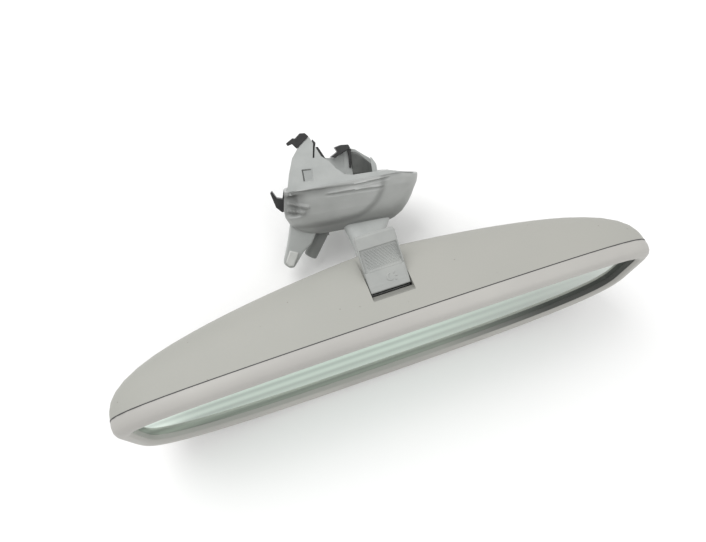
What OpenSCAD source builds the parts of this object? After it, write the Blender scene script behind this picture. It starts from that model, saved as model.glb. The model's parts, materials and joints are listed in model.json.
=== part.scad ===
// Interior rear-view mirror with a day/night lever, on a ball-jointed claw bracket.
// The head's glass faces -Y, its day/night lever stands on the +Z side, and the
// claws of the bracket reach away from it. The origin is the centre of the claws' seat.

/* [Head] */
// Width of the mirror head
head_w = 250; // [200:1:300]
// Half height of the head on the lever side, at its ends
near_h = 29.3; // [25:0.1:36]
// Extra half height at mid width on the lever side
near_bow = 3.3; // [0:0.1:6]
// Half height of the head on the other side, at its ends
far_h = 32.5; // [30:0.1:40]
// Extra half height at mid width on the other side
far_bow = 2.8; // [0:0.1:6]
// Depth of the front bezel
bezel_d = 7.2; // [6:0.1:10]
// Depth of the rear shell at mid width
shell_d = 41; // [40:0.1:52]
// Wall thickness of the rear shell
shell_wall = 2.2; // [1.6:0.1:3]
// Width of the bezel's lip around the glass
lip_w = 6.4; // [5:0.1:9]
// How far the lip hides the edge of the glass
lip_cover = 1.8; // [1:0.1:2.5]
// Recess of the glass behind the lip
glass_recess = 4; // [2:0.1:5]
// Thickness of the glass at its thin edge
glass_thin = 2.4; // [2:0.1:3]
// Thickness of the glass at its thick edge
glass_thick = 4.6; // [3.5:0.1:5.5]
// Thickness of the reflecting film
film_t = 0.3; // [0.2:0.05:0.5]
// Thickness of the foam pad behind the glass
pad_t = 1.6; // [1:0.1:2.5]

/* [Lever] */
// Width of the lever at its root
lever_root_w = 18.2; // [15:0.1:22]
// Width of the lever at its tip
lever_tip_w = 17.8; // [14:0.1:22]
// Thickness of the lever blade
lever_t = 3.2; // [2.5:0.1:4]
// Radius of the lever's heel
heel_r = 4.2; // [3.6:0.1:4.4]
// Radius of the lever pin
lever_pin_r = 1.5; // [1.2:0.1:1.8]
// Distance of the crank pin from the lever pin
crank_r = 6.5; // [6:0.1:7]
// Offset of the lever from the head's middle
lever_x = 1; // [-4:0.1:4]
// Swing of the lever from day to night
lever_travel = 32; // [20:1:34]

/* [Joint] */
// Radius of the ball
ball_r = 8; // [6.6:0.1:9.6]
// Radius of the ball's shank
shank_r = 4; // [3:0.1:4.5]
// Wall of the liner, the clamp ring and the gaps' carrier
cup_wall = 1.5; // [1.2:0.1:1.8]
// Gap between one cup and the next
cup_gap = 0.25; // [0.2:0.05:0.4]
// Wall of the socket on the carrier
socket_wall = 2.5; // [2:0.1:3]
// Radius of the opening in the shell for the arm
arm_hole_r = 16; // [14:0.1:17]
// Radius of the flip pins
flip_pin_r = 2; // [1.5:0.1:2.5]

/* [Bracket] */
// Lean of the bracket towards the lever side as stored
bracket_lean = 40; // [30:1:50]
// Turn of the bracket across the head as stored
bracket_turn = -7; // [-15:1:0]
// Half depth of the bowl's near wall from its middle
bowl_near = 20; // [17:0.1:24]
// Half depth of the bowl's far wall from its middle
bowl_far = 16; // [14:0.1:20]
// Reach of the bowl to its bow
bowl_bow = 50; // [46:0.5:58]
// Reach of the bowl to its stern
bowl_stern = 23; // [20:0.5:27]
// Depth of the bowl
bowl_d = 27; // [22.5:0.1:32.5]
// Wall of the bracket's mouldings
bracket_wall = 2.2; // [1.6:0.1:2.8]
// Side of the square window in the claw frame
window_w = 5.2; // [3:0.1:6]
// Radius of the arm at the ball
arm_r = 5.6; // [5.2:0.1:7]

/* [Hidden] */
$fn = 48;

eps = 0.01;
play = 0.06;              // radial clearance of a running pin
moving_gap = 0.5;         // gap beside a moving piece

// The head's own axes start at the middle of the bezel's front plane.
ball_in_head = [0, 33, -6];
ball_pos = [3.5, -70.5, -6];
head_shift = ball_pos - ball_in_head;

half_w = head_w / 2;
near_corner = 7.9;        // exponents of the head's rounded outline
far_corner = 3.4;
plan_power = 1.2;         // exponents of the shell's plan and of its cross-section
plan_round = 3.03;
section_round = 3.12;
row_count = 52;
row_start = 20;           // direction of the first row, clear of the outline's end
section_count = 20;
outline_step = 3;

// Radii of the nested cups around the ball
liner_in = ball_r + cup_gap;
liner_out = liner_in + cup_wall;
ring_in = liner_out + cup_gap;
ring_out = ring_in + cup_wall;
socket_in = ring_out + cup_gap;
socket_out = socket_in + socket_wall;

// Flip axis and lever axis, as [y, z] in the head
head_top = near_h + near_bow;
flip_axis = [16.5, 8 - far_h];
lever_axis = [24.4, head_top - 4.2];
crank_start = -90 - lever_travel / 2;
crank_pin = [
    lever_axis[0] + crank_r * cos(crank_start),
    lever_axis[1] + crank_r * sin(crank_start)
];
flip_travel = asin(2 * crank_r * sin(lever_travel / 2) / (crank_pin[1] - flip_axis[1]));

// Blade of the lever, from the slit to its tip, as [y, z] in the head
blade = [
    [20.6, head_top - 1.4], [28.4, head_top + 1.8], [38, head_top + 6], [42.9, head_top + 9.2]
];
slot_play = 0.4;          // gap beside the lever
slot_half = lever_root_w / 2 + slot_play;
slot_front = 19.3;        // front wall of the lever's notch
bevel_reach = 1.9;        // how far the bevel in front of the notch runs forward
bevel_drop = 1.7;
bevel_sink = 0.9;          // how far the bevel lies below the head's highest line
pan_fall = 0.4345;         // slope of the thumb recess behind the lever
pan_end = shell_d + 5;
// Floor of the thumb recess, as [y, z]
pan = [[29.2, head_top - 3.7], [pan_end, head_top - 3.7 - pan_fall * (pan_end - 29.2)]];
pan_t = 2;

// Lugs of the flip hinge along X
lug_x = 20;
lug_w = 6;
boss_w = 4;
lug_r = 4;

// The bracket's own axes: x along the bowl, y towards the roof, z towards the lever side.
arm_root = [15, 3 - bowl_d, 4];
ball_here = to_bracket(ball_pos);
arm_reach = 17;           // from the ball's centre to the arm's end
shank_depth = 13;         // length of the shank inside the arm
screw_r = 1.7;
screw_x = [9, 21];
screw_z = 4;
screw_l = 14;             // length of an arm screw below its head
arm_pad_t = 1.4;          // thickness of the arm's pad under the bowl
arm_pad_x = 3.5;          // start and width of that pad
arm_pad_w = 23;
arm_screw_y = -bowl_d - arm_pad_t - bracket_wall - 1.6;
boss_l = 10;              // depth of the frame screws' posts
leg_t = 7;                // thickness of the long leg

// Claw frame in the bowl
frame_screw_x = [-13, 20];
frame_screw_z = bowl_near - 6;
frame_screw_r = 0.9;
claw_back = 9;            // depth of claw A behind the near wall
clip_w = 8;               // width of the claw clips
land = [26, 9, 14];       // the resting land at the bow: its start, length and width
land_h = 0.4;

// Edge of the frame's near wall, over claw A and along the deck to the bow
near_edge = [
    [1.7 - bowl_stern, 0], [-18.7, 8.3], [-15.6, 16], [-12.2, 20], [-5.3, 24.8], [-1.1, 14.7],
    [2.2, 11.8], [5.2, 7.6], [9.3, 3.6], [14, 2.6], [24, 2.4], [33, 1.6], [38, 0]
];
// Edge of the far wall, over claw B
far_edge = [
    [3 - bowl_stern, -2], [-18, 8], [-9, 12.4], [1.6, 12.8], [8.4, 11.4], [17.8, 15.3], [20.5, 14.3],
    [26.3, 8.9], [31, 0], [31, -2]
];

// Openings of the ball's liner, as half angles: for the shank and opposite it
liner_mouth = 36;
liner_front = 38;

// Carrier plate, its fork and its cap
plate_y = 15;             // front face of the carrier plate
plate_t = 3;
plate_half = 30;
socket_back = ball_in_head[1] + 8;
socket_reach = socket_back - ball_in_head[1];
fork_w = 8;
fork_slot = 2 * lever_pin_r + 0.4;
cap_screw_angles = [30, 150, 270];
cap_screw_out = socket_out + 1.25;
cap_r = socket_out + 3.75;
hub_r = 16;               // round wall of claw B

// Glass pocket of the bezel
glass_inset = lip_w - lip_cover + 0.2;
glass_back = glass_recess + glass_thick;
wedge = atan((glass_thick - glass_thin) / (near_h + far_h));
tongue_gap = 0.6;         // between the shell's wall and the bezel's tongue
tongue_d = 2.2;

function sq(x) = x * x;
function unit(v) = v / norm(v);
function lerp(a, b, t) = a + (b - a) * t;

// Turns a point of the row frame into the bracket's own axes.
function to_bracket(p) =
    let (
        q = [
            p[0] * cos(bracket_turn) + p[1] * sin(bracket_turn),
            p[1] * cos(bracket_turn) - p[0] * sin(bracket_turn),
            p[2]
        ]
    )
    [
        q[0],
        q[1] * cos(bracket_lean) + q[2] * sin(bracket_lean),
        q[2] * cos(bracket_lean) - q[1] * sin(bracket_lean)
    ];

// Half heights of the head at x, on the lever side and on the other side
function near_at(x) = near_h + near_bow * (1 - sq(x / half_w));
function far_at(x) = far_h + far_bow * (1 - sq(x / half_w));
function rounded(u, p) = pow(max(0, 1 - pow(min(1, abs(u)), p)), 1 / p);

// A point of the head's outline in direction t, drawn in by inset, as [x, z]
function outline_point(t, inset) =
    let (
        p = t < 180 ? near_corner : far_corner,
        r = pow(pow(abs(cos(t)), p) + pow(abs(sin(t)), p), -1 / p),
        x = (half_w - inset) * r * cos(t),
        h = (t < 180 ? near_at(x) : far_at(x)) - inset
    )
    [x, h * r * sin(t)];
function outline(inset) = [for (t = [0 : outline_step : 359]) outline_point(t, inset)];

// Cross-section of the rear form at u of its half width, drawn in by inset, as [x, y, z]
function form_row(u, inset) =
    let (
        x = u * (half_w - inset),
        d = (shell_d - inset) * pow(max(0, 1 - pow(abs(u), plan_power)), 1 / plan_round),
        near = (near_at(x) - inset) * rounded(u, near_corner),
        far = (far_at(x) - inset) * rounded(u, far_corner),
        k = 2 / section_round
    )
    [for (j = [0 : section_count])
        let (a = 180 * j / section_count, c = cos(a))
        [x, bezel_d + d * pow(max(0, sin(a)), k), (c > 0 ? -far : near) * pow(abs(c), k)]];

// Direction angles crowd the rows together towards the ends.
function row_place(i) =
    let (t = lerp(row_start, 180 - row_start, i / row_count))
    cos(t) * pow(pow(abs(cos(t)), near_corner) + pow(abs(sin(t)), near_corner), -1 / near_corner);

module skin(rings, closed = false) {
    n = len(rings[0]);
    m = len(rings);
    last = closed ? m - 1 : m - 2;
    sides = [for (i = [0 : last], j = [0 : n - 1])
        [i * n + j, i * n + (j + 1) % n, ((i + 1) % m) * n + (j + 1) % n, ((i + 1) % m) * n + j]];
    caps = closed ? [] : [
        [for (j = [n - 1 : -1 : 0]) j],
        [for (j = [0 : n - 1]) (m - 1) * n + j]
    ];
    polyhedron([for (ring = rings) each ring], concat(sides, caps), convexity = 8);
}

module rear_form(inset) {
    skin([for (i = [0 : row_count]) form_row(row_place(i), inset)]);
}

// Sweeps [inset, y] points around the head's outline.
module outline_ring(profile) {
    skin([for (t = [0 : outline_step : 359])
        [for (p = profile) let (q = outline_point(t, p[0])) [q[0], p[1], q[1]]]], true);
}

// A plate of the head's outline between two depths
module outline_plate(inset, y0, y1) {
    translate([0, y1, 0]) rotate([90, 0, 0]) linear_extrude(y1 - y0) polygon(outline(inset));
}

module in_head() { translate(head_shift) children(); }
module at_ball() { translate(ball_pos) children(); }
module in_bracket() { rotate([bracket_lean, 0, bracket_turn]) children(); }

// Turns +Z towards v.
module aim(v) {
    rotate([0, acos(v[2] / norm(v)), atan2(v[1], v[0])]) children();
}

// A cylinder along X, centred on x, at a [y, z] place of the head
module cross_cylinder(place, x, r, length) {
    translate([x - length / 2, place[0], place[1]]) rotate([0, 90, 0]) cylinder(r = r, h = length);
}

// Extrudes a [y, z] outline along X, centred.
module cross_profile(points, width) {
    rotate([90, 0, 90]) translate([0, 0, -width / 2]) linear_extrude(width) polygon(points);
}

// Extrudes an [x, y] outline of the bracket between two of its z values.
module flat_wall(points, z0, z1) {
    translate([0, 0, z0]) linear_extrude(z1 - z0) polygon(points);
}

function arc(centre, r, a0, a1, n) =
    [for (i = [0 : n]) let (a = lerp(a0, a1, i / n)) centre + r * [cos(a), sin(a)]];

// ---- bracket ----

// The bowl's rounded body, drawn in by inset and open at its top when raised by lift
module bowl_form(inset, lift) {
    round_r = 9.5;
    top = [
        [-bowl_stern, -bowl_far], [-bowl_stern, bowl_near - 4], [-bowl_stern + 4, bowl_near],
        [36, bowl_near], [bowl_bow - 4.5, bowl_near - 4], [bowl_bow - 2, 8], [bowl_bow, 1],
        [34, -bowl_far]
    ];
    floor_y = -bowl_d + round_r;
    hull() {
        translate([0, lift, 0]) rotate([90, 0, 0]) linear_extrude(2 + lift)
            offset(delta = -inset) mirror([0, 1]) polygon(top);
        translate([-bowl_stern + round_r - 2, floor_y + 3, 6]) sphere(round_r - inset, $fn = 28);
        translate([0, floor_y, 4]) sphere(round_r - inset, $fn = 28);
        translate([bowl_bow - 21, floor_y, 4]) sphere(round_r - inset, $fn = 28);
        translate([bowl_bow - 14.5, floor_y + 4, 3]) sphere(round_r - inset, $fn = 28);
    }
}

// The legs are placed from the bowl's floor.
module leg_blade() {
    translate([0, -bowl_d, 0]) flat_wall([[-22.4, 10], [-9.2, 2.5], [-13.5, -4], [-19.1, -7.9],
        [-25.6, -15.5], [-28.4, -15.2], [-30.8, -12.4], [-30.6, -10.6], [-27.2, -2.8]], 0, leg_t);
}

module leg_tube() {
    start = [-2.5, 4 - bowl_d, -3];
    way = [-13.3, -16.8, 0];
    translate(start) aim(way) cylinder(r = 3.7, h = norm(way));
}

module bracket_bowl() {
    color([0.66, 0.67, 0.66]) in_bracket() difference() {
        union() {
            difference() {
                bowl_form(0, 0);
                bowl_form(bracket_wall, 4);
            }
            difference() {
                union() {
                    leg_blade();
                    leg_tube();
                    translate(arm_root + [-10, 0, -7]) cube([20, 4, 12]);
                }
                bowl_form(bracket_wall - 0.4, 4);
                leg_pad_form();
            }
            for (x = screw_x) upright([x, arm_screw_y + 3, screw_z], 4.2, screw_l - 3);
            for (x = frame_screw_x) frame_boss(x);
        }
        for (x = screw_x) upright([x, arm_screw_y, screw_z], screw_r + 0.3, screw_l + 2);
        for (x = frame_screw_x) upright([x, -9, frame_screw_z], frame_screw_r, 10);
    }
}

// A cylinder standing on a bracket point, along the bracket's y
module upright(place, r, length) {
    translate(place) rotate([-90, 0, 0]) cylinder(r = r, h = length);
}

// A post for a frame screw, on the bowl's near wall under the deck
module frame_boss(x) {
    r = 2.6;
    intersection() {
        union() {
            upright([x, -boss_l, frame_screw_z], r, boss_l - bracket_wall);
            translate([x - r, -boss_l, frame_screw_z]) cube([2 * r, boss_l - bracket_wall, 10]);
        }
        bowl_form(bracket_wall - 0.4, 4);
    }
}

module leg_pad_form() {
    translate([0, -bowl_d, 0]) flat_wall([[-21.6, -7.4], [-25.6, -14.2], [-28.2, -14],
        [-29.6, -11.6], [-26.2, -5.4]], leg_t - 1, leg_t + 1);
}

module leg_pad() {
    color([0.75, 0.76, 0.73]) in_bracket() leg_pad_form();
}

module claw_frame() {
    w = bracket_wall;
    side = bowl_near - w;         // inner face of the bowl's near wall
    stern = 2.6 - bowl_stern;
    color([0.7, 0.71, 0.7]) in_bracket() difference() {
        union() {
            flat_wall(near_edge, side, bowl_near);
            flat_wall([[-12.2, 20], [-5.3, 24.8], [-1.1, 14.7], [-3, 12], [-13, 14]],
                bowl_near - claw_back, side + eps);
            flat_wall(concat([for (p = far_edge) if (p[0] < 19) p], [[20, -w]]),
                -bowl_far + w + 0.1, -bowl_far + 2 * w);
            claw_hub();
            deck(stern, 30, -bowl_far + w + 0.1, 9);
            deck(stern, 33.6, side - 9, 8.9);
            deck(stern, stern + 3, -bowl_far + w + 0.1, side + bowl_far - w - 0.2);
            deck(24, 37.5, -12, 26);
            translate([stern, -w, side - 1.6]) cube([32 - stern, w + 2, 1.6 + eps]);
            translate([land[0], -w, -land[2] / 2]) cube([land[1], w + land_h, land[2]]);
        }
        translate([-12.2, 3.8, side - 1]) rotate([0, 0, -4]) cube([window_w, window_w + 1, w + 2]);
        translate([-5.4, 14.5, bowl_near - claw_back - 1]) rotate([0, 0, -12])
            cube([0.9, 12, claw_back + 2]);
        for (x = frame_screw_x) upright([x, -4, frame_screw_z], frame_screw_r + 0.2, 8);
    }
}

// A plate of the deck from x0 to x1, flush with the bowl's rim
module deck(x0, x1, z, width) {
    translate([x0, -bracket_wall, z]) cube([x1 - x0, bracket_wall, width]);
}

// The round wall that carries claw B, open towards the near wall
module claw_hub() {
    w = bracket_wall;
    r = hub_r;
    intersection() {
        flat_wall(concat([[12, -w], [14, 15]], [for (p = far_edge) if (p[0] > 17) p]),
            -bowl_far + w + 0.1, bowl_near - w - 4);
        translate([13, -w, r - bowl_far + w + 0.2]) rotate([-90, 0, 0]) difference() {
            cylinder(r = r, h = 22);
            translate([0, 0, -1]) cylinder(r = r - w, h = 24);
            translate([-20, -18, -1]) cube([20, 36, 24]);
            translate([-1, -18, -1]) cube([22, 12, 24]);
        }
    }
}

module claw_clip_a() {
    color([0.1, 0.1, 0.1]) in_bracket()
        flat_wall([[-12.3, 20.2], [-5.4, 25], [-7, 27], [-9.6, 27.3], [-12.4, 25.2], [-13.6, 25.6],
            [-17.2, 23.6], [-16.6, 22.2], [-14.2, 22.8]], bowl_near - claw_back, bowl_near);
}

module claw_clip_b() {
    z = -bowl_far + bracket_wall;
    color([0.1, 0.1, 0.1]) in_bracket()
        flat_wall([[8.4, 11.6], [17.8, 15.5], [17, 17.6], [13, 18], [9.2, 17.2], [10.4, 14.6],
            [5.9, 12.2]], z - 2, z - 2 + clip_w);
}

module claw_clip_c() {
    x = -bowl_stern;
    color([0.1, 0.1, 0.1]) in_bracket()
        flat_wall([[x - 0.02, 0.3], [x - 1.6, -4.4], [x - 4.6, -3.4], [x - 6.4, 0.6], [x - 7.4, -0.2],
            [x - 5.8, -8.2], [x - 3.2, -11.2], [x - 1.2, -11.2], [x - 0.02, -3]], -2, clip_w - 2);
}

module frame_screws() {
    color([0.55, 0.55, 0.56]) in_bracket() for (x = frame_screw_x) {
        upright([x, -7, frame_screw_z], frame_screw_r, 7.02);
        upright([x, 0.02, frame_screw_z], 1.7, 0.9);
    }
}

module stem_arm() {
    way = unit(arm_root - ball_here);
    start = ball_here + way * arm_reach;
    color([0.66, 0.67, 0.66]) in_bracket() difference() {
        hull() {
            translate(start) aim(way) cylinder(r = arm_r, h = 6, $fn = 32);
            translate([arm_pad_x, -bowl_d - arm_pad_t - 0.1, -1]) cube([arm_pad_w, arm_pad_t, 10]);
        }
        translate(ball_here + way * (arm_reach - 1)) aim(way)
            cylinder(r = shank_r, h = shank_depth + 1);
        for (x = screw_x)
            upright([x, arm_screw_y - 1, screw_z], screw_r, 9);
    }
}

module arm_screws() {
    color([0.55, 0.55, 0.56]) in_bracket() for (x = screw_x) {
        upright([x, arm_screw_y, screw_z], screw_r, screw_l + 0.04);
        upright([x, arm_screw_y + screw_l + 0.03, screw_z], 3.2, 2);
    }
}

module ball_stud() {
    way = unit(arm_root - ball_here);
    color([0.72, 0.73, 0.75]) in_bracket() translate(ball_here) {
        sphere(ball_r, $fn = 64);
        aim(way) cylinder(r = shank_r, h = arm_reach + shank_depth);
    }
}

// ---- ball socket ----

// A cone from the centre, of a half angle, along +Z
module cone(angle, length) {
    cylinder(r1 = 0, r2 = length * tan(angle), h = length);
}

module ball_liner() {
    way = unit(arm_root - ball_here);
    color([0.93, 0.92, 0.88]) in_bracket() translate(ball_here) aim(way) difference() {
        sphere(liner_out, $fn = 64);
        sphere(liner_in, $fn = 64);
        cone(liner_mouth, 14);
        rotate([180, 0, 0]) cone(liner_front, 14);
    }
}

// A ring cut from a spherical shell between two heights, turned about its axis
module shell_band(inner, outer, y0, y1) {
    a = [asin(y0 / outer), asin(y1 / outer)];
    b = [asin(y0 / inner), asin(y1 / inner)];
    rotate([-90, 0, 0]) rotate_extrude($fn = 96) polygon(concat(
        arc([0, 0], outer, a[0], a[1], 16), arc([0, 0], inner, b[1], b[0], 16)
    ));
}

module clamp_ring() {
    color([0.6, 0.6, 0.62]) at_ball() shell_band(ring_in, ring_out, -6, 6);
}

// The socket's bore, straight in front of the ball's centre and round behind it
module socket_profile(r, reach, front) {
    rotate([-90, 0, 0]) rotate_extrude($fn = 96) polygon(concat(
        [[0, -front], [r, -front]], arc([0, 0], r, 0, asin(reach / r), 16), [[0, reach]]
    ));
}

module socket_outer() {
    translate(ball_in_head) socket_profile(socket_out, socket_reach, ball_in_head[1] - plate_y);
}

module socket_inner() {
    translate(ball_in_head)
        socket_profile(socket_in, socket_reach + 1, ball_in_head[1] - plate_y + 1);
    translate([0, socket_back - 1, ball_in_head[2]]) rotate([-90, 0, 0])
        cylinder(r = socket_in * cos(asin((socket_reach + 1) / socket_in)), h = 5);
}

module carrier_plate() {
    fork_top = crank_pin[1] + 0.9;
    fork_root = crank_pin[1] - 4.2;
    color([0.3, 0.3, 0.31]) in_head() difference() {
        union() {
            socket_outer();
            translate([-plate_half, plate_y, flip_axis[1] + 7]) cube([2 * plate_half, plate_t, 30]);
            translate([-lug_x - lug_w, plate_y, flip_axis[1]]) cube([2 * (lug_x + lug_w), plate_t, 8]);
            for (side = [-1, 1])
                cross_cylinder(flip_axis, side * (lug_x + lug_w / 2), lug_r, lug_w);
            translate([lever_x - fork_w / 2, plate_y, 10]) cube([fork_w, plate_t, fork_top - 10]);
            translate([lever_x - fork_w / 2, plate_y, fork_root - 5])
                cube([fork_w, 13, fork_top - fork_root + 5]);
        }
        socket_inner();
        for (side = [-1, 1])
            cross_cylinder(flip_axis, side * (lug_x + lug_w / 2), flip_pin_r + play, lug_w + 2);
        translate([lever_x - fork_w, crank_pin[0] - fork_slot / 2, fork_root])
            cube([2 * fork_w, fork_slot, 20]);
        for (a = cap_screw_angles)
            cap_screw_place(a) cylinder(r = 1.2, h = 8, center = true);
    }
}

module cap_screw_place(a) {
    translate([cap_screw_out * cos(a), plate_y, ball_in_head[2] + cap_screw_out * sin(a)])
        rotate([-90, 0, 0]) children();
}

module socket_cap() {
    color([0.35, 0.35, 0.36]) in_head() difference() {
        union() {
            translate([0, plate_y - 1.5, ball_in_head[2]]) rotate([-90, 0, 0])
                cylinder(r = cap_r, h = 1.5 - eps);
            translate([0, plate_y - 0.5, ball_in_head[2]]) rotate([-90, 0, 0])
                cylinder(r = socket_in - 0.1, h = 4);
        }
        for (a = cap_screw_angles)
            cap_screw_place(a) cylinder(r = 1.5, h = 8, center = true);
    }
}

module cap_screws() {
    color([0.55, 0.55, 0.56]) in_head() for (a = cap_screw_angles)
        cap_screw_place(a) {
            translate([0, 0, -1.5]) cylinder(r = 1.2, h = 4);
            translate([0, 0, -2.6]) cylinder(r = 2.2, h = 1.1 - eps);
        }
}

module clamp_spring() {
    color([0.6, 0.6, 0.62]) in_head()
        translate([0, plate_y + 3.6, ball_in_head[2]]) rotate([-90, 0, 0]) difference() {
            cylinder(r = socket_in - 0.3, h = 3.4);
            translate([0, 0, -1]) cylinder(r = 8, h = 6);
            translate([0, 0, 0.7]) difference() {
                cylinder(r = socket_in, h = 2);
                translate([-3, -20, -1]) cube([6, 40, 4]);
                translate([-20, -3, -1]) cube([40, 6, 4]);
            }
        }
}

// ---- head ----

// Places on either side of the middle
module both(x) {
    for (side = [-1, 1]) translate([side * x, 0, 0]) children();
}

module rear_shell() {
    lug_top = flip_axis[1] + lug_r;
    lug_out = lug_x + lug_w + boss_w / 2 + moving_gap;
    color([0.72, 0.72, 0.68]) in_head() difference() {
        union() {
            difference() {
                rear_form(0);
                translate([0, -eps, 0]) rear_form(shell_wall);
                translate([lever_x, 0, 0]) slot_cut();
            }
            intersection() {
                rear_form(shell_wall / 2);
                union() {
                    both(lug_out) translate([-boss_w / 2, bezel_d + 5, -far_h - 10])
                        cube([boss_w, 9, lug_top + far_h + 10]);
                    translate([lever_x, 0, 0]) {
                        both(slot_half + 2) translate([-1.8, lever_axis[0] - 4.2, lever_axis[1] - 3.4])
                            cube([3.6, 8.4, 10]);
                        translate([-5, bezel_d + 2, near_h - 5]) cube([10, 4, 12]);
                        cross_profile([pan[0], pan[1], pan[1] - [0, pan_t], pan[0] - [0, pan_t]],
                            2 * slot_half + 3);
                    }
                }
            }
        }
        translate([0, ball_in_head[1], ball_in_head[2]]) rotate([-90, 0, 0])
            cylinder(r = arm_hole_r, h = 60);
        cross_cylinder(lever_axis, lever_x, lever_pin_r, 2 * slot_half + 7);
        both(lug_out) cross_cylinder(flip_axis, 0, flip_pin_r, boss_w + 2);
    }
}

// Notch of the lever: a bevelled front wall, a through slot and a thumb recess behind
module slot_cut() {
    bevel_z = head_top - bevel_sink;
    cross_profile([
        [slot_front - 2 * bevel_reach, bevel_z + bevel_drop], [slot_front, bevel_z - bevel_drop],
        [slot_front, 12], [pan[0][0], 12], pan[0], pan[1], [60, pan[1][1]], [60, 60],
        [slot_front - 2 * bevel_reach, 60]
    ], 2 * slot_half);
}

module front_bezel() {
    w = shell_wall + tongue_gap;
    edge = lip_w - lip_cover;
    back = bezel_d + tongue_d;
    color([0.66, 0.65, 0.63]) in_head() outline_ring([
        [0, bezel_d], [w, bezel_d], [w, back], [edge, back], [edge, glass_recess],
        [lip_w, glass_recess], [lip_w - 0.2, 1.6], [lip_w - 1.2, 0.4], [lip_w - 2.4, 0],
        [2.8, 0.2], [1.3, 1.1], [0.4, 2.6], [0, 4.6]
    ]);
}

module prism_glass() {
    color([0.75, 0.88, 0.8, 0.6]) in_head() difference() {
        outline_plate(glass_inset, glass_recess + 0.02, glass_back + 1);
        glass_back_cut();
    }
}

// Everything behind the glass's sloping rear face
module glass_back_cut() {
    translate([-half_w, glass_back, -far_h - far_bow]) rotate([wedge, 0, 0])
        cube([head_w, 20, 3 * near_h]);
}

module glass_layer(y0, y1) {
    intersection() {
        outline_plate(glass_inset, glass_recess, glass_back + 6);
        translate([-half_w, glass_back, -far_h - far_bow]) rotate([wedge, 0, 0])
            translate([0, y0, 0]) cube([head_w, y1 - y0, 3 * near_h]);
    }
}

module mirror_film() {
    color([0.85, 0.87, 0.86]) in_head() glass_layer(0.01, film_t);
}

module backing_pad() {
    color([0.2, 0.2, 0.2]) in_head() glass_layer(film_t + 0.01, film_t + pad_t);
}

module flip_pins() {
    length = lug_w + boss_w + moving_gap;
    color([0.6, 0.6, 0.62]) in_head() for (side = [-1, 1])
        cross_cylinder(flip_axis, side * (lug_x + length / 2), flip_pin_r, length);
}

module lever_pin() {
    color([0.6, 0.6, 0.62]) in_head()
        cross_cylinder(lever_axis, lever_x, lever_pin_r, 2 * slot_half + 6);
}

module detent_spring() {
    y0 = bezel_d + 5;
    top = near_h - 5.02;          // under the shell's boss
    leaf = 0.5;
    nose = lever_axis[0] - heel_r - 0.5;
    color([0.6, 0.6, 0.62]) in_head() translate([lever_x, 0, 0]) cross_profile([
        [y0, top], [y0, top - leaf], [nose - 1.1, top - leaf], [nose, near_h - 2],
        [nose - leaf, near_h - 2], [nose - 1.4, top]
    ], fork_w);
}

// ---- lever ----

module flip_lever() {
    d = [for (i = [0 : 2]) unit(blade[i + 1] - blade[i])];
    under = [for (i = [0 : 2]) [d[i][1], -d[i][0]] * lever_t];
    color([0.68, 0.69, 0.67]) in_head() translate([lever_x, 0, 0]) difference() {
        union() {
            intersection() {
                cross_profile([
                    blade[0], blade[1], blade[2], blade[3],
                    blade[3] + under[2] * 0.8, blade[2] + under[1], blade[1] + under[1],
                    blade[0] + [6, -3]
                ], 40);
                lever_plan();
            }
            cross_cylinder(lever_axis, 0, heel_r, lever_root_w);
            for (side = [-1, 1]) crank_cheek(side);
        }
        cross_cylinder(lever_axis, 0, lever_pin_r + play, lever_root_w + 2);
        cross_cylinder(crank_pin, 0, lever_pin_r, lever_root_w + 2);
    }
}

// Width of the lever over its height, with rounded corners at the tip
module lever_plan() {
    z0 = blade[0][1] - 4;
    z1 = blade[3][1] + 0.5;
    r = lever_root_w / 2;
    t = lever_tip_w / 2;
    corner = 1.4;
    translate([0, 80, 0]) rotate([90, 0, 0]) linear_extrude(90) polygon(concat(
        [[-r, z0], [r, z0], [r, z0 + 4]],
        arc([t - corner, z1 - corner], corner, 0, 90, 5),
        arc([corner - t, z1 - corner], corner, 90, 180, 5),
        [[-r, z0 + 4]]
    ));
}

module crank_cheek(side) {
    w = (lever_root_w - fork_w) / 2 - slot_play;
    x = side * (lever_root_w - w) / 2;
    away = crank_pin - lever_axis;
    lobe = 2.8;
    cross_cylinder(crank_pin, x, lobe, w);
    translate([x - w / 2, lever_axis[0], lever_axis[1]])
        rotate([atan2(away[1], away[0]), 0, 0]) translate([0, 0, -lobe]) cube([w, crank_r, 2 * lobe]);
}

module cam_pin() {
    color([0.6, 0.6, 0.62]) in_head()
        cross_cylinder(crank_pin, lever_x, lever_pin_r, lever_root_w - slot_play);
}

bracket_bowl();
claw_frame();
claw_clip_a();
claw_clip_b();
claw_clip_c();
leg_pad();
frame_screws();
stem_arm();
arm_screws();
ball_stud();
ball_liner();
clamp_ring();
carrier_plate();
socket_cap();
clamp_spring();
cap_screws();
rear_shell();
front_bezel();
prism_glass();
mirror_film();
backing_pad();
flip_pins();
lever_pin();
detent_spring();
flip_lever();
cam_pin();
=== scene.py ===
"""Looks of an interior rear-view mirror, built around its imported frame. Lengths in millimetres are
scaled by MM where they enter Blender, which works in metres in the frame of the CAD model."""

import json
import math

import bmesh
import bpy
from mathutils import Matrix, Vector
from mathutils.bvhtree import BVHTree


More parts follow.
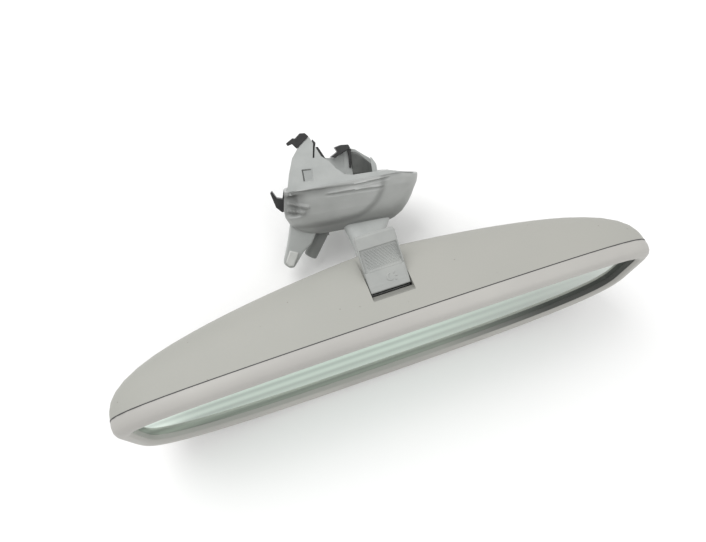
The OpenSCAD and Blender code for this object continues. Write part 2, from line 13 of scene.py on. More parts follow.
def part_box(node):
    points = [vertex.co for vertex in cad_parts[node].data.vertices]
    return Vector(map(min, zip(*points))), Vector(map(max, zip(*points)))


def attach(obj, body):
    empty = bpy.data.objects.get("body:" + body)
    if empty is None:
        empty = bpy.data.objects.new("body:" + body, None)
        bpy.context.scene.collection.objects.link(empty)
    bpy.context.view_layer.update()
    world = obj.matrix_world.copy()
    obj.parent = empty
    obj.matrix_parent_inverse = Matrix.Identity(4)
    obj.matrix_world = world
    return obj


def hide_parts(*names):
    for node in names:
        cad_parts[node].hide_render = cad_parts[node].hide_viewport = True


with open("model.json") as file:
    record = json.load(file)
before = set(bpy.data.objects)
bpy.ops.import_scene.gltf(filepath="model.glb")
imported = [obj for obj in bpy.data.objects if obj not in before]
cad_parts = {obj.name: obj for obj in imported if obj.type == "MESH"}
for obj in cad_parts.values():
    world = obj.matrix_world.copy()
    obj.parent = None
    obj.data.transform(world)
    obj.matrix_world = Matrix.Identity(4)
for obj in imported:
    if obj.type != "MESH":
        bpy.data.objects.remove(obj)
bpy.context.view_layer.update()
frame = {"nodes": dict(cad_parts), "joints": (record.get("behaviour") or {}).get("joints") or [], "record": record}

MM = 0.001
JOINTS = {joint["name"]: joint for joint in frame["joints"]}
BALL = Vector(JOINTS["ball_twist"]["pos_m"]) / MM
BALL_IN_HEAD = Vector((0, 33, -6))
HEAD = Matrix.Translation(BALL - BALL_IN_HEAD)
BRACKET_LEAN = math.radians(40)
BRACKET_TURN = math.radians(-7)
BRACKET = Matrix.Rotation(BRACKET_TURN, 4, "Z") @ Matrix.Rotation(BRACKET_LEAN, 4, "X")

# ---------------------------------------------------------------- head sizes
bezel_low, bezel_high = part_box("front_bezel")
HALF_W = (bezel_high.x - bezel_low.x) / 2 / MM
# Half height at the corners, bow of the long side and sharpness of the corners
NEAR_H, NEAR_BOW, NEAR_CORNER = 29.3, 3.3, 7.9
FAR_H, FAR_BOW, FAR_CORNER = 32.5, 2.8, 3.4
FLOOR_Z = -FAR_H - FAR_BOW
# Soft bands of painted reflection on the glass: height, half width and whether pale
GLASS_BANDS = [
    (17.0, 1.4, False), (11.5, 1.6, True), (6.5, 1.3, False), (0.5, 1.8, True),
    (-5.5, 1.3, False), (-13.0, 2.2, True), (-21.0, 1.6, False),
]
BAND_STRENGTH = 0.7


# ---------------------------------------------------------------- materials
class Surface:
    """A node material built up one effect at a time on the piece's own Object coordinates."""

    def __init__(self, name, colour, roughness, metallic=0.0):
        self.material = bpy.data.materials.new(name)
        self.material.use_nodes = True
        self.tree = self.material.node_tree
        self.shader = self.tree.nodes["Principled BSDF"]
        self.shader.inputs["Base Color"].default_value = (*colour, 1)
        self.shader.inputs["Roughness"].default_value = roughness
        self.shader.inputs["Metallic"].default_value = metallic
        self.place = self.tree.nodes.new("ShaderNodeTexCoord").outputs["Object"]
        self.colour = None
        self.normal = None

    def node(self, kind, **settings):
        made = self.tree.nodes.new(kind)
        for key, value in settings.items():
            setattr(made, key, value)
        return made

    def link(self, source, target):
        self.tree.links.new(source, target)

    def noise(self, scale, detail=4.0, stretch=(1, 1, 1)):
        mapping = self.node("ShaderNodeMapping")
        mapping.inputs["Scale"].default_value = stretch
        self.link(self.place, mapping.inputs["Vector"])
        noise = self.node("ShaderNodeTexNoise")
        noise.inputs["Scale"].default_value = scale
        noise.inputs["Detail"].default_value = detail
        self.link(mapping.outputs["Vector"], noise.inputs["Vector"])
        return noise.outputs["Fac"]

    def ramp(self, source, low, high, colour_low, colour_high):
        ramp = self.node("ShaderNodeValToRGB")
        ramp.color_ramp.elements[0].position = low
        ramp.color_ramp.elements[0].color = (*colour_low, 1)
        ramp.color_ramp.elements[1].position = high
        ramp.color_ramp.elements[1].color = (*colour_high, 1)
        self.link(source, ramp.inputs["Fac"])
        return ramp.outputs["Color"]

    def mottle(self, scale, light, dark, detail, stretch=(1, 1, 1)):
        """Colour drifting between two tones."""
        source = self.ramp(self.noise(scale, detail, stretch), 0.35, 0.65, dark, light)
        self.colour = source
        self.link(source, self.shader.inputs["Base Color"])
        return self

    def overlay(self, mask, colour):
        """Lays a colour over the base wherever the mask is on."""
        mix = self.node("ShaderNodeMixRGB")
        self.link(mask, mix.inputs["Fac"])
        if self.colour is None:
            mix.inputs["Color1"].default_value = self.shader.inputs["Base Color"].default_value
        else:
            self.link(self.colour, mix.inputs["Color1"])
        mix.inputs["Color2"].default_value = (*colour, 1)
        self.colour = mix.outputs["Color"]
        self.link(self.colour, self.shader.inputs["Base Color"])
        return self

    def specks(self, scale, colour, amount):
        """Small scattered spots over the base colour."""
        cells = self.node("ShaderNodeTexVoronoi")
        cells.inputs["Scale"].default_value = scale
        self.link(self.place, cells.inputs["Vector"])
        near = self.ramp(cells.outputs["Distance"], amount * 0.7, amount, (1, 1, 1), (0, 0, 0))
        return self.overlay(near, colour)

    def rough(self, scale, low, high):
        source = self.node("ShaderNodeMapRange")
        source.inputs["To Min"].default_value = low
        source.inputs["To Max"].default_value = high
        self.link(self.noise(scale), source.inputs["Value"])
        self.link(source.outputs["Result"], self.shader.inputs["Roughness"])
        return self

    def bump(self, source, height, strength):
        bump = self.node("ShaderNodeBump")
        bump.inputs["Distance"].default_value = height * MM
        bump.inputs["Strength"].default_value = strength
        self.link(source, bump.inputs["Height"])
        if self.normal is not None:
            self.link(self.normal, bump.inputs["Normal"])
        self.normal = bump.outputs["Normal"]
        self.link(self.normal, self.shader.inputs["Normal"])
        return self

    def darken(self, attribute, colour):
        """Painted shade held in the piece's own attribute, laid over the base colour."""
        painted_shade = self.node("ShaderNodeAttribute", attribute_name=attribute)
        return self.overlay(painted_shade.outputs["Fac"], colour)

    def swirls(self, scale, distortion, height):
        """Flow marks left by the moulding, as a faint relief."""
        wave = self.node("ShaderNodeTexWave", wave_type="RINGS")
        wave.inputs["Scale"].default_value = scale
        wave.inputs["Distortion"].default_value = distortion
        wave.inputs["Detail"].default_value = 3
        self.link(self.place, wave.inputs["Vector"])
        return self.bump(wave.outputs["Fac"], height, 0.5)

    def across(self, right, start, end):
        """Colour changing along the head's width between two distances from its middle."""
        apart = self.node("ShaderNodeSeparateXYZ")
        self.link(self.place, apart.inputs["Vector"])
        place = self.node("ShaderNodeMapRange")
        place.inputs["From Min"].default_value = start * MM
        place.inputs["From Max"].default_value = end * MM
        self.link(apart.outputs["X"], place.inputs["Value"])
        return self.overlay(place.outputs["Result"], right)

    def bands(self, bands, dark, light):
        """Soft bands of painted reflection along the glass, standing for a room that the scene does not have."""
        apart = self.node("ShaderNodeSeparateXYZ")
        self.link(self.place, apart.inputs["Vector"])
        for height, half, pale in bands:
            offset = self.node("ShaderNodeMath", operation="SUBTRACT")
            self.link(apart.outputs["Z"], offset.inputs[0])
            offset.inputs[1].default_value = height * MM
            size = self.node("ShaderNodeMath", operation="ABSOLUTE")
            self.link(offset.outputs["Value"], size.inputs[0])
            middle = (BAND_STRENGTH,) * 3
            mask = self.ramp(size.outputs["Value"], 0, half * MM, middle, (0, 0, 0))
            self.overlay(mask, light if pale else dark)
        return self

    def grain(self, scale, height, strength=1.0):
        return self.bump(self.noise(scale, 3.0), height, strength)


def shell_grey():
    surface = Surface("shell_grain_grey", (0.35, 0.35, 0.325), 0.6)
    surface.mottle(14, (0.365, 0.362, 0.332), (0.345, 0.347, 0.318), 3)
    surface.specks(160, (0.24, 0.23, 0.2), 0.05)
    return surface.rough(900, 0.5, 0.66).grain(2600, 0.05).material


def bezel_taupe():
    surface = Surface("bezel_satin_taupe", (0.42, 0.41, 0.39), 0.45)
    surface.mottle(20, (0.43, 0.42, 0.395), (0.39, 0.38, 0.36), 3)
    return surface.rough(700, 0.42, 0.58).grain(2400, 0.05).material


def bracket_grey():
    surface = Surface("bracket_moulded_grey", (0.42, 0.44, 0.43), 0.4)
    surface.mottle(60, (0.45, 0.465, 0.455), (0.385, 0.40, 0.39), 5, (1, 0.5, 2.2))
    return surface.rough(120, 0.34, 0.52).grain(300, 0.08, 0.6).material


def lever_grey():
    surface = Surface("lever_satin_grey", (0.34, 0.35, 0.335), 0.45)
    surface.mottle(90, (0.35, 0.36, 0.345), (0.315, 0.325, 0.315), 3)
    # Painted shade: the blade's front face, which shows through the slit, is darkened to near black.
    surface.darken("shade", (0.006, 0.006, 0.006))
    return surface.rough(500, 0.4, 0.55).grain(2200, 0.03).material


def pad_grey():
    surface = Surface("leg_pad_grey", (0.6, 0.61, 0.59), 0.6)
    surface.mottle(120, (0.62, 0.63, 0.61), (0.55, 0.56, 0.54), 3)
    return surface.grain(900, 0.05).material


def spring_black():
    surface = Surface("clip_black_steel", (0.018, 0.018, 0.018), 0.42)
    surface.mottle(300, (0.022, 0.022, 0.021), (0.012, 0.012, 0.013), 4)
    return surface.rough(400, 0.32, 0.5).grain(900, 0.04).material


def steel(name, tone, low, high):
    surface = Surface(name, (tone, tone, tone * 1.02), low, 1.0)
    surface.mottle(200, (tone, tone, tone * 1.02), (tone * 0.88, tone * 0.88, tone * 0.9), 4)
    return surface.rough(600, low, high).grain(1200, 0.01).material


def nylon_white():
    surface = Surface("liner_nylon_white", (0.82, 0.8, 0.74), 0.4)
    surface.mottle(150, (0.84, 0.82, 0.76), (0.78, 0.76, 0.7), 3)
    return surface.grain(800, 0.02).material


def carrier_black():
    surface = Surface("carrier_filled_black", (0.03, 0.03, 0.032), 0.5)
    surface.mottle(400, (0.035, 0.035, 0.037), (0.022, 0.022, 0.024), 4)
    return surface.rough(500, 0.45, 0.6).grain(1500, 0.03).material


def foam_black():
    surface = Surface("pad_foam_black", (0.03, 0.03, 0.03), 0.9)
    surface.mottle(900, (0.04, 0.04, 0.04), (0.015, 0.015, 0.015), 2)
    return surface.grain(1800, 0.2).material


def mirror_glass():
    surface = Surface("glass_silvered_mint", (0.47, 0.56, 0.5), 0.06, 1.0)
    surface.mottle(6, (0.64, 0.77, 0.68), (0.6, 0.72, 0.64), 2, (1, 1, 3))
    surface.bands(GLASS_BANDS, (0.42, 0.5, 0.45), (0.8, 0.92, 0.84))
    # Painted reflection: the glass greys towards one end of the head.
    surface.across((0.5, 0.56, 0.51), 10, 110)
    return surface.material


def mirror_silver():
    surface = Surface("film_silver", (0.88, 0.93, 0.9), 0.03, 1.0)
    surface.mottle(8, (0.88, 0.93, 0.9), (0.86, 0.915, 0.885), 2)
    return surface.material


def pale_floor():
    surface = Surface("floor_white", (0.9, 0.9, 0.9), 0.7)
    surface.mottle(3, (0.9, 0.9, 0.895), (0.89, 0.89, 0.89), 2)
    return surface.material


def hull_grey():
    surface = Surface("hull_moulded_grey", (0.42, 0.44, 0.43), 0.4)
    surface.mottle(45, (0.43, 0.44, 0.43), (0.36, 0.37, 0.36), 6, (1, 0.6, 1.8))
    # Painted shade from the bowl's own attribute darkens its pocket, the wall under its ledge and its belly.
    surface.darken("painted_shade", (0.075, 0.077, 0.073))
    surface.swirls(55, 9.0, 0.1)
    return surface.rough(120, 0.34, 0.52).grain(300, 0.08, 0.6).material


def painted_shade_dark():
    # Near-black grey for thin sheets of painted shade in the bracket's deep corners.
    surface = Surface("painted_shade_deep_grey", (0.12, 0.125, 0.118), 0.5)
    surface.mottle(90, (0.14, 0.145, 0.138), (0.085, 0.09, 0.085), 4)
    return surface.grain(500, 0.05).material


def lip_shade():
    # A darker copy of the shell's grey, for the painted shade in front of the slit.
    surface = Surface("shell_lip_shade", (0.24, 0.24, 0.22), 0.55)
    return surface.grain(1500, 0.03).material


def seat_band():
    surface = Surface("glass_seat_taupe_painted_shade", (0.40, 0.39, 0.37), 0.5)
    # Painted shade: the taupe darkens to near black towards one end of the head.
    surface.across((0.085, 0.085, 0.08), 30, 92)
    return surface.grain(1500, 0.03).material


def leg_dark():
    # A darker copy of the bracket's grey: painted shade on the leg tube.
    surface = Surface("leg_shaded_grey", (0.24, 0.25, 0.24), 0.42)
    surface.mottle(80, (0.27, 0.28, 0.27), (0.2, 0.21, 0.205), 4)
    return surface.rough(200, 0.36, 0.52).grain(400, 0.06, 0.6).material


MATERIALS = {
    "leg_dark": leg_dark(),
    "hull_grey": hull_grey(),
    "painted_shade_dark": painted_shade_dark(),
    "seat_band": seat_band(),
    "lip_shade": lip_shade(),
    "shell_grey": shell_grey(),
    "bezel_taupe": bezel_taupe(),
    "bracket_grey": bracket_grey(),
    "lever_grey": lever_grey(),
    "pad_grey": pad_grey(),
    "spring_black": spring_black(),
    "zinc_steel": steel("screw_zinc", 0.55, 0.3, 0.45),
    "polished_steel": steel("ball_polished", 0.72, 0.12, 0.22),
    "spring_steel": steel("spring_satin", 0.42, 0.3, 0.42),
    "nylon_white": nylon_white(),
    "carrier_black": carrier_black(),
    "foam_black": foam_black(),
    "mirror_glass": mirror_glass(),
    "mirror_silver": mirror_silver(),
}


def dress_cad_nodes():
    """Gives every CAD node the procedural material of its slot."""
    for part in frame["record"]["subparts"]:
        mesh = frame["nodes"][part["node"]].data
        mesh.materials.clear()
        mesh.materials.append(MATERIALS[part["material_slot"]])


# ---------------------------------------------------------------- shapes
def blend(low, high, value):
    """0 below low, 1 above high and a smooth rise between."""
    t = min(1.0, max(0.0, (value - low) / (high - low)))
    return t * t * (3 - 2 * t)


def signed_power(value, power):
    return math.copysign(abs(value) ** power, value)


def finish_piece(name, bm, place, body, slot, nodes=(), sharp=35, material=None):
    """Turns a bmesh in millimetres of some piece's own axes into a piece that rides on a body."""
    bmesh.ops.transform(bm, matrix=Matrix.Scale(MM, 4) @ place, verts=bm.verts)
    mesh = bpy.data.meshes.new(name)
    bm.to_mesh(mesh)
    bm.free()
    mesh.materials.append(MATERIALS[material or slot])
    mesh.shade_smooth()
    mesh.set_sharp_from_angle(angle=math.radians(sharp))
    piece = bpy.data.objects.new(name, mesh)
    bpy.context.scene.collection.objects.link(piece)
    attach(piece, body)
    if nodes:
        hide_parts(*nodes)
    return piece


def next_ring(bm, ring):
    """Extrudes a closed ring of vertices and returns the new ring in the same order."""
    members = set(ring)
    edges = list({e for v in ring for e in v.link_edges if e.other_vert(v) in members})
    made = bmesh.ops.extrude_edge_only(bm, edges=edges)["geom"]
    at = {tuple(v.co): v for v in made if isinstance(v, bmesh.types.BMVert)}
    return [at[tuple(v.co)] for v in ring]


def round_edges(piece, width, segments=2):
    bevel = piece.modifiers.new("rounded edges", "BEVEL")
    bevel.width = width * MM
    bevel.segments = segments
    bevel.limit_method = "ANGLE"
    bevel.angle_limit = math.radians(30)


def body_of(node):
    bodies = frame["record"]["behaviour"]["bodies"]
    return next(body for body, nodes in bodies.items() if node in nodes)


def soften(node, width, slot, flatten=True):
    """A CAD node's twin with its moulded edges rounded over."""
    bm = bmesh.new()
    bm.from_mesh(frame["nodes"][node].data)
    bmesh.ops.remove_doubles(bm, verts=bm.verts, dist=0.003 * MM)
    if flatten:
        bmesh.ops.dissolve_limit(
            bm, angle_limit=math.radians(1), verts=bm.verts, edges=bm.edges, delimit={"NORMAL"}
        )
    bmesh.ops.transform(bm, matrix=Matrix.Scale(1 / MM, 4), verts=bm.verts)
    piece = finish_piece(node + "_moulded", bm, Matrix(), body_of(node), slot, (node,))
    round_edges(piece, width)


# ---------------------------------------------------------------- head
def head_point(angle, inset, y):
    """A point of the head's outline, drawn in by inset, at the depth y."""
    power = NEAR_CORNER if math.sin(angle) > 0 else FAR_CORNER
    c, s = math.cos(angle), math.sin(angle)
    reach = (abs(c) ** power + abs(s) ** power) ** (-1 / power)
    x = (HALF_W - inset) * reach * c
    fade = 1 - (x / HALF_W) ** 2
    height = NEAR_H + NEAR_BOW * fade if s > 0 else FAR_H + FAR_BOW * fade
    return Vector((x, y, (height - inset) * reach * s))


def sweep_outline(profile):
    """Sweeps a closed [inset, y] profile around the head's outline."""
    bm = bmesh.new()
    ring = bmesh.ops.create_circle(bm, segments=480, radius=1)["verts"]
    rings = [ring]
    for _ in profile[1:]:
        rings.append(next_ring(bm, rings[-1]))
    angles = [math.atan2(v.co.y, v.co.x) for v in ring]
    for (inset, y), verts in zip(profile, rings):
        for angle, v in zip(angles, verts):
            v.co = head_point(angle, inset, y)
    open_edges = [e for e in bm.edges if e.is_boundary]
    bmesh.ops.bridge_loops(bm, edges=open_edges)
    bmesh.ops.recalc_face_normals(bm, faces=bm.faces)
    return bm


def parting_seam():
    """Painted shade in the fine gap where the shell meets the bezel: a black strip set into it."""
    bm = sweep_outline([(-0.06, 7.02), (-0.06, 7.42), (1.2, 7.42), (1.2, 7.02)])
    finish_piece("parting_seam", bm, HEAD, "head", "carrier_black")


def glass_seat():
    """The inner wall of the bezel's lip, with painted shade darkening it towards one end."""
    bm = sweep_outline([(6.2, 1.75), (6.46, 1.75), (6.46, 3.98), (6.2, 3.98)])
    finish_piece("glass_seat_band", bm, HEAD, "head", "bezel_taupe", material="seat_band")


def slot_lip():
    """Painted shade on the shell in front of the lever's slit: a thin darker sheet laid on the CAD surface."""
    half_width, middle_y, half_depth = 9.4, 17.65, 1.3
    above_shell = 60
    lift = Vector((0, -0.05, 0.09))
    bm = bmesh.new()
    bm.from_mesh(frame["nodes"]["rear_shell"].data)
    shell = BVHTree.FromBMesh(bm)
    bm.free()
    bm = bmesh.new()
    bmesh.ops.create_grid(bm, x_segments=60, y_segments=12, size=1)
    for v in bm.verts:
        x = LEVER_X + half_width * v.co.x
        y = middle_y + half_depth * v.co.y
        start = MM * (HEAD @ Vector((x, y, above_shell)))
        hit = shell.ray_cast(start, Vector((0, 0, -1)))[0]
        v.co = HEAD.inverted() @ (hit / MM) + lift
    finish_piece("slot_lip_shade", bm, HEAD, "head", "shell_grey", material="lip_shade")


# ---------------------------------------------------------------- lever
LEVER_X, LEVER_HALF, LEVER_T = 1.0, 9.1, 2.8
LEVER_PATH = [(20.35, 29.6), (20.6, 31.2), (28.4, 34.4), (38.0, 38.6), (42.9, 41.8)]
# Distances along the blade: its front edge, the start and end of its recess, and its tip
FRONT, CREASE, STEP, TIP = 1.62, 10.05, 20.53, 26.38


def lever_place(along):
    """Point and outward normal of the blade's middle line, as (y, z) pairs."""
    rest = along
    for (y0, z0), (y1, z1) in zip(LEVER_PATH, LEVER_PATH[1:]):
        length = math.hypot(y1 - y0, z1 - z0)
        if rest <= length or (y1, z1) == LEVER_PATH[-1]:
            way = Vector(((y1 - y0) / length, (z1 - z0) / length))
            return Vector((y0, z0)) + way * rest, Vector((-way.y, way.x))
        rest -= length


def lever_sign(u, v):
    """A crescent with three rays: the generic sign for night driving."""
    disc = 1 - blend(1.5, 1.8, math.hypot(u, v))
    height = 0.28 * disc * blend(1.15, 1.4, math.hypot(u - 0.75, v - 0.3))
    for turn in (-35, 0, 35):
        c, s = math.cos(math.radians(turn)), math.sin(math.radians(turn))
        a, b = u * c + v * s, v * c - u * s
        length = blend(2.0, 2.2, a) * (1 - blend(3.1, 3.3, a))
        height += 0.25 * length * (1 - blend(0.15, 0.35, abs(b)))
    return height


def lever_relief(x, along):
    """Height of the blade's mouldings over its plain faces."""
    rail = blend(8.1, 8.7, abs(x)) * blend(CREASE - 0.2, CREASE + 1.2, along)
    zone = blend(CREASE, CREASE + 0.5, along) * (1 - blend(STEP - 0.35, STEP, along)) * (1 - rail)
    span = min(1, max(0, (along - CREASE) / (STEP - CREASE)))
    dish = -0.55 - 1.3 * math.sin(math.pi * span) ** 0.8
    hatch = (1 - rail) * blend(CREASE + 0.9, CREASE + 1.6, along)
    hatch *= (1 - blend(STEP - 1.4, STEP - 0.8, along)) * blend(-7.4, -6.6, x)
    ripple = 0.22 * math.sin(2 * math.pi * (0.8 * x + 0.6 * along) / 1.1)
    border = 0.12 * (1 - blend(0.1, 0.3, abs(abs(x) - 8.35)))
    border *= (1 - blend(CREASE - 0.8, CREASE, along)) * blend(FRONT + 0.3, FRONT + 0.8, along)
    sign_x, sign_along = 1.0, FRONT + 4.4
    sign = lever_sign(x - sign_x, along - sign_along)
    return zone * dish + hatch * ripple + 0.15 * rail + sign + border


def lever_blade():
    """The blade with its mouldings, closed by an underside that follows the plain blade."""
    corner = 1.6
    bm = bmesh.new()
    shade = bm.verts.layers.float.new("shade")
    bmesh.ops.create_grid(bm, x_segments=150, y_segments=200, size=1)
    top_height = {}
    for v in bm.verts:
        along = (v.co.y + 1) / 2 * TIP
        over = max(0.0, along - (TIP - corner))
        half = LEVER_HALF - (corner - math.sqrt(max(0.0, corner**2 - over**2)))
        x = v.co.x * half
        place, normal = lever_place(along)
        drop = 0.9 * blend(TIP - 1.2, TIP, along) ** 2 + 0.35 * blend(8.75, 9.1, abs(x)) ** 2
        relief = lever_relief(x, along) - drop
        top_height[v] = Vector((0, normal.x, normal.y)) * (LEVER_T + relief)
        place = place + normal * relief
        # Painted shade on the lower part of the blade's front face, seen through the slit.
        v[shade] = 1 - blend(FRONT - 0.8, FRONT - 0.6, along)
        v.co = Vector((x + LEVER_X, place.x, place.y))
    bmesh.ops.smooth_vert(
        bm, verts=[v for v in bm.verts if v.co.y < 22.5], factor=0.5,
        use_axis_x=False, use_axis_y=True, use_axis_z=True
    )
    rim = [e for e in bm.edges if e.is_boundary]
    made = bmesh.ops.duplicate(bm, geom=bm.verts[:] + bm.edges[:] + bm.faces[:])
    under = made["vert_map"]
    for v, height in top_height.items():
        under[v].co = v.co - height
    for e in rim:
        a, b = e.verts
        bm.faces.new((a, b, under[b], under[a]))
    bmesh.ops.recalc_face_normals(bm, faces=bm.faces)
    finish_piece("flip_lever_blade", bm, HEAD, "lever", "lever_grey", ("flip_lever",), 50)


def lever_heel():
    """The barrel that the lever turns on and the two eyes of its crank pin."""
    axis_y, axis_z, pin_y, pin_z = 24.4, 28.4, 22.61, 22.15
    eye_x, eye_width = 6.75, 4.6
    across = Matrix.Rotation(math.radians(90), 4, "Y")
    bm = bmesh.new()
    for x, radius, y, z, length in (
        (0, 4.1, axis_y, axis_z, 18.0),
        (-eye_x, 2.8, pin_y, pin_z, eye_width),
        (eye_x, 2.8, pin_y, pin_z, eye_width),
    ):
        place = Matrix.Translation((x + LEVER_X, y, z)) @ across
        bmesh.ops.create_cone(
            bm, cap_ends=True, segments=48, radius1=radius, radius2=radius, depth=length,
            matrix=place
        )
    lean = math.atan2(pin_z - axis_z, pin_y - axis_y)
    web = Matrix.Rotation(lean, 4, "X") @ Matrix.Diagonal((eye_width, 6.5, 5.4, 1))
    for x in (-eye_x, eye_x):
        middle = Vector((x + LEVER_X, (axis_y + pin_y) / 2, (axis_z + pin_z) / 2))
        bmesh.ops.create_cube(bm, size=1, matrix=Matrix.Translation(middle) @ web)
    heel = finish_piece("flip_lever_heel", bm, HEAD, "lever", "lever_grey")
    round_edges(heel, 0.25)


# ---------------------------------------------------------------- bracket
# Depth below the rim, then how far the bowl reaches left, right, to the near and to the far side
BOWL_LEVELS = [
    (0, -23.0, 50.0, 20.0, -16.0), (-2, -23.2, 49.8, 20.0, -15.4), (-6, -24.2, 49.0, 19.3, -13.2),
    (-10, -25.0, 47.4, 18.2, -11.2), (-14, -25.0, 45.4, 16.9, -9.3), (-18, -23.4, 42.8, 15.2, -7.3),
    (-22, -19.2, 39.2, 12.9, -4.8), (-25, -13.6, 34.6, 10.2, -2.0), (-26.6, -8.0, 30.0, 7.4, 0.8),
    (-27, -3.0, 25.0, 5.2, 2.8),
]
BOWL_ROWS = 84
BOWL_X, BOWL_Z = 13.0, 3.0
# Sharpness of the outline's corners, by whether they lie to the right and to the near side
BOWL_CORNERS = {(True, True): 3.2, (False, True): 6.0, (True, False): 2.3, (False, False): 5.0}
# Two ribs in the pocket of the near wall, from x, y to x, y
POCKET_RIBS = [(-21.5, -6.2, -12.5, -9.6), (-22.5, -10.2, -15.0, -12.2)]


def bowl_reach(depth):
    """Left, right, near and far reach of the bowl at a depth, eased between its levels."""
    for upper, lower in zip(BOWL_LEVELS, BOWL_LEVELS[1:]):
        if depth >= lower[0]:
            t = (upper[0] - depth) / (upper[0] - lower[0])
            return [a + (b - a) * t for a, b in zip(upper[1:], lower[1:])]
    return list(BOWL_LEVELS[-1][1:])


def belly_edge(x, y):
    """1 on the curved edge of the raised belly, less inside it and more outside."""
    return math.hypot(max(0, x - 5) / 23, max(0, -1 - y) / 19)


def moulded_line(away, rise, rise_edges, fall, fall_edges, gap):
    """A ridge at a distance from its middle, with a groove the gap below it."""
    ridge = rise * (1 - blend(*rise_edges, abs(away)))
    groove = fall * (1 - blend(*fall_edges, abs(away + gap)))
    return ridge - groove


def nearest_on(x, y, x0, y0, x1, y1):
    """How far along a segment its nearest point to x, y lies, and the distance to it."""
    way_x, way_y = x1 - x0, y1 - y0
    share = ((x - x0) * way_x + (y - y0) * way_y) / (way_x**2 + way_y**2)
    share = min(1.0, max(0.0, share))
    return share, math.hypot(x - x0 - share * way_x, y - y0 - share * way_y)


def bowl_relief(x, y):
    """Height of the mouldings on the bowl's near wall over its plain curve."""
    height = 1.0 * (1 - blend(0.92, 1.08, belly_edge(x, y)))
    ledge = -0.3 - 0.04 * (x + 21)
    height -= 1.1 * (1 - blend(ledge - 0.5, ledge, y)) * (1 - blend(4, 12, x))
    run = blend(-2, 0.5, x) * (1 - blend(26, 29, x))
    height += run * moulded_line(y + 4.3 + 0.035 * x, 0.7, (0.25, 0.55), 0.55, (0.3, 0.9), 1.0)
    run = blend(12, 14, x) * (1 - blend(30, 33, x))
    line = -1.9 + 0.04 * (x - 13)
    height += run * moulded_line(y - line, 0.5, (0.2, 0.5), 0.5, (0.3, 0.8), 0.8)
    pocket = (1 - blend(-18.5, -15.5, x)) * (1 - blend(-3.4, -1.8, y)) * blend(-14.5, -12, y)
    height -= 2.6 * pocket
    for rib in POCKET_RIBS:
        share, away = nearest_on(x, y, *rib)
        height += 2.2 * (1 - blend(0.3, 1.3, away)) * (1 - 0.5 * share)
    return height


def bowl_painted_shade(x, y):
    """How much painted shade darkens the near wall: in its pocket, under its ledge, towards its belly and along
    the belly's edge.
    """
    pocket = (1 - blend(-18, -10, x)) * (1 - blend(-3.0, -1.0, y)) * blend(-16, -12, y)
    under = (1 - blend(-6, 6, x)) * blend(-7, -1, y) * (1 - blend(-0.8, -0.2, y))
    belly = 0.5 * blend(14, 25, -y) * blend(-22, -6, x)
    step = 0.3 * (1 - blend(0.0, 0.13, abs(belly_edge(x, y) - 1.02)))
    return min(0.85, 0.5 * pocket + 0.45 * under + belly + step)


def bowl_point(angle, depth):
    left, right, near, far = bowl_reach(depth)
    c, s = math.cos(angle), math.sin(angle)
    power = 2 / BOWL_CORNERS[(c > 0, s > 0)]
    reach_x = right - BOWL_X if c > 0 else BOWL_X - left
    reach_z = near - BOWL_Z if s > 0 else BOWL_Z - far
    x = BOWL_X + reach_x * signed_power(c, power)
    z = BOWL_Z + reach_z * signed_power(s, power)
    if s > 0:
        z += bowl_relief(x, depth) * blend(0.5, 0.95, abs(s) ** power)
    sag = 2.8 * blend(33, 50, x) * (1 - blend(0, 12, -depth))
    return Vector((x, depth - sag, z))


def bracket_bowl():
    bm = bmesh.new()
    painted_shade = bm.verts.layers.float.new("painted_shade")
    ring = bmesh.ops.create_circle(bm, segments=300, radius=1)["verts"]
    angles = [math.atan2(v.co.y, v.co.x) for v in ring]
    rows = [ring]
    for _ in range(BOWL_ROWS):
        rows.append(next_ring(bm, rows[-1]))
    for row, verts in enumerate(rows):
        share = row / BOWL_ROWS
        depth = BOWL_LEVELS[-1][0] * math.sin(share * math.pi / 2) ** 1.15
        for angle, v in zip(angles, verts):
            v.co = bowl_point(angle, depth)
            # Painted shade, on the near side of the bowl only.
            v[painted_shade] = bowl_painted_shade(v.co.x, v.co.y) if angle > 0 else 0.0
    last = set(rows[-1])
    rim = [e for e in bm.edges if e.verts[0] in last and e.verts[1] in last]
    bmesh.ops.edgeloop_fill(bm, edges=rim)
    bmesh.ops.recalc_face_normals(bm, faces=bm.faces)
    piece = finish_piece(
        "bracket_bowl_hull", bm, BRACKET, "bracket", "bracket_grey", ("bracket_bowl",), 60, "hull_grey"
    )
    wall = piece.modifiers.new("wall", "SOLIDIFY")
    wall.thickness = 2.0 * MM
    wall.offset = -1


def plate_piece(name, corners, z0, z1, slot, width, material=None):
    """A moulded plate of the bracket, of a flat outline between two heights."""
    bm = bmesh.new()
    face = bm.faces.new([bm.verts.new((x, y, z0)) for x, y in corners])
    made = bmesh.ops.extrude_face_region(bm, geom=[face])["geom"]
    verts = [item for item in made if isinstance(item, bmesh.types.BMVert)]
    bmesh.ops.translate(bm, verts=verts, vec=(0, 0, z1 - z0))
    bmesh.ops.recalc_face_normals(bm, faces=bm.faces)
    piece = finish_piece(name, bm, BRACKET, "bracket", slot, material=material)
    round_edges(piece, width, 3)


